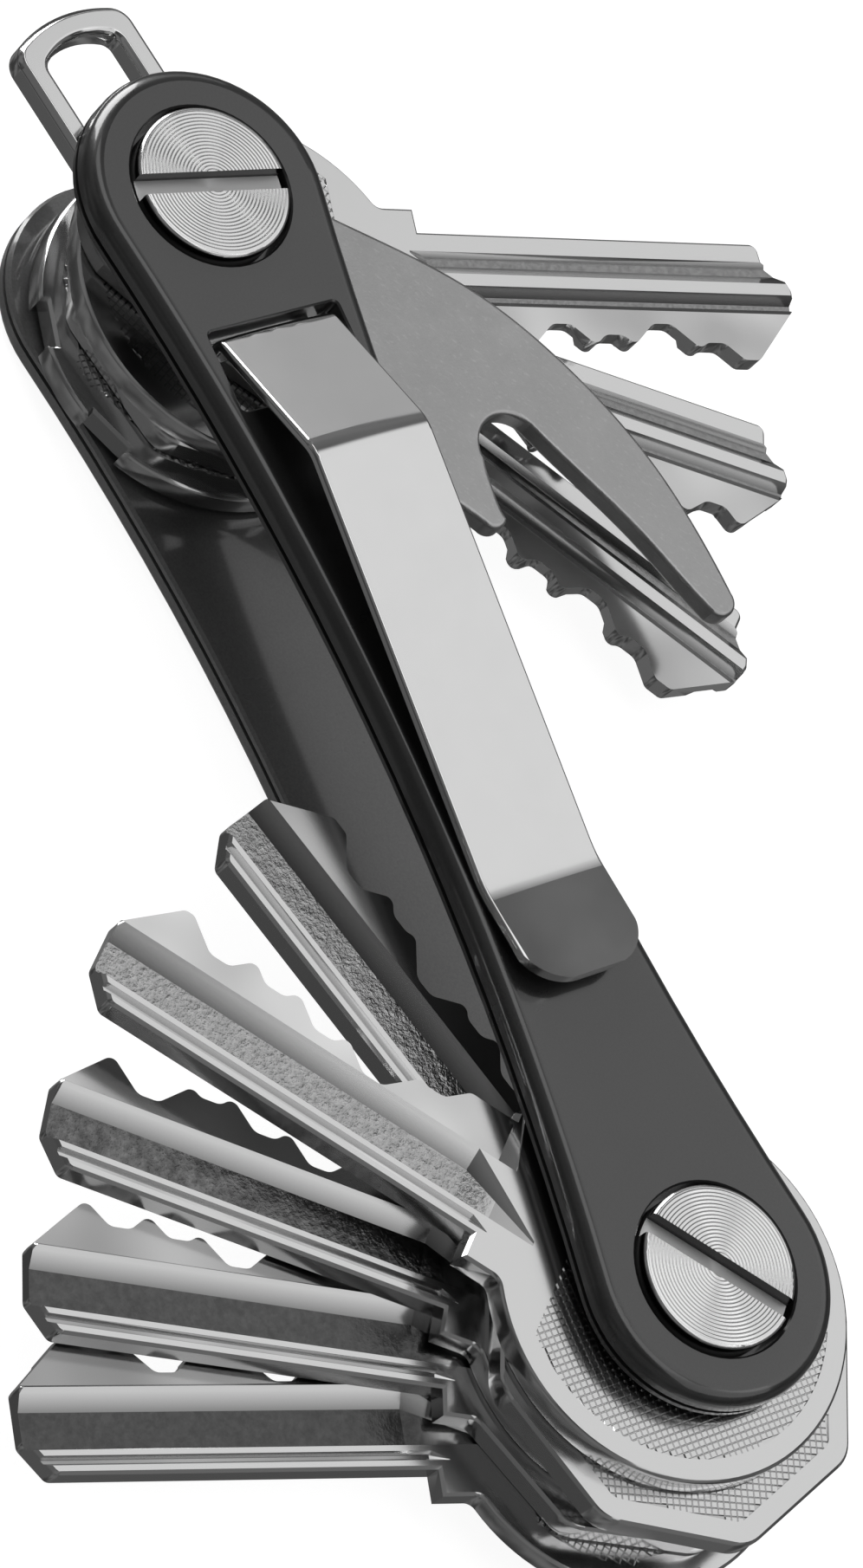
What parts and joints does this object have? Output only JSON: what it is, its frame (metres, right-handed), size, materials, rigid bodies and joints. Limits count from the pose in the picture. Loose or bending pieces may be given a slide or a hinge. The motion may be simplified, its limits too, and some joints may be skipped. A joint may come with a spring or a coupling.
{
  "type": "key organiser",
  "caption": "Pocket key organiser: two black plates on screw posts, with fold-out keys, a bottle opener, a ring loop and a steel pocket clip.",
  "frame": {"origin": "middle of the back plate's outer face, half way between the two posts", "axes": "+Z out of the front plate towards the pocket clip, +X from the ring-loop end to the far end"},
  "size_m": [0.106, 0.0874, 0.0203],
  "materials": {
    "plate_black": "satin anodised black",
    "clip_steel": "polished, finely brushed",
    "turned_steel": "concentric turned rings",
    "post_steel": "turned",
    "washer_steel": "satin",
    "opener_steel": "satin, lightly marked",
    "loop_steel": "polished",
    "key_nickel": "nickel plate, satin with bright edges"
  },
  "bodies": {
    "handle": {"back_plate": "plate_black", "front_plate": "plate_black", "pocket_clip": "clip_steel", "loop_end_screw": "turned_steel", "far_end_screw": "turned_steel", "loop_end_post": "post_steel", "far_end_post": "post_steel", "far_end_lower_washer": "washer_steel", "far_end_upper_washer": "washer_steel", "loop_end_washer": "washer_steel"},
    "far_end_key_1": {"far_end_key_1": "key_nickel"},
    "far_end_key_2": {"far_end_key_2": "key_nickel"},
    "far_end_key_3": {"far_end_key_3": "key_nickel"},
    "far_end_key_4": {"far_end_key_4": "key_nickel"},
    "far_end_key_5": {"far_end_key_5": "key_nickel"},
    "loop_end_key_1": {"loop_end_key_1": "key_nickel"},
    "loop_end_key_2": {"loop_end_key_2": "key_nickel"},
    "loop_end_key_3": {"loop_end_key_3": "key_nickel"},
    "bottle_opener": {"bottle_opener": "opener_steel"},
    "ring_loop": {"ring_loop": "loop_steel"}
  },
  "joints": [
    {"name": "far_end_key_1_swing", "type": "hinge", "parent": "handle", "child": "far_end_key_1", "pos_m": [0.0375, 0, 0.008], "axis": [0, 0, 1], "range_deg": [-70.5, 197.5]},
    {"name": "far_end_key_2_swing", "type": "hinge", "parent": "handle", "child": "far_end_key_2", "pos_m": [0.0375, 0, 0.008], "axis": [0, 0, 1], "range_deg": [-58.9, 205.6]},
    {"name": "far_end_key_3_swing", "type": "hinge", "parent": "handle", "child": "far_end_key_3", "pos_m": [0.0375, 0, 0.008], "axis": [0, 0, 1], "range_deg": [-43.9, 217.6]},
    {"name": "far_end_key_4_swing", "type": "hinge", "parent": "handle", "child": "far_end_key_4", "pos_m": [0.0375, 0, 0.008], "axis": [0, 0, 1], "range_deg": [-10.2, 253.8]},
    {"name": "far_end_key_5_swing", "type": "hinge", "parent": "handle", "child": "far_end_key_5", "pos_m": [0.0375, 0, 0.008], "axis": [0, 0, 1], "range_deg": [-31, 230.5]},
    {"name": "loop_end_key_1_swing", "type": "hinge", "parent": "handle", "child": "loop_end_key_1", "pos_m": [-0.0375, 0, 0.008], "axis": [0, 0, 1], "range_deg": [-32, 235]},
    {"name": "loop_end_key_2_swing", "type": "hinge", "parent": "handle", "child": "loop_end_key_2", "pos_m": [-0.0375, 0, 0.008], "axis": [0, 0, 1], "range_deg": [-45.8, 212.7]},
    {"name": "loop_end_key_3_swing", "type": "hinge", "parent": "handle", "child": "loop_end_key_3", "pos_m": [-0.0375, 0, 0.008], "axis": [0, 0, 1], "range_deg": [-61.5, 194.5]},
    {"name": "bottle_opener_swing", "type": "hinge", "parent": "handle", "child": "bottle_opener", "pos_m": [-0.0375, 0, 0.008], "axis": [0, 0, 1], "range_deg": [-35, 232]},
    {"name": "ring_loop_swivel", "type": "hinge", "parent": "handle", "child": "ring_loop", "pos_m": [-0.0375, 0, 0.008], "axis": [0, 0, 1], "continuous": true}
  ]
}
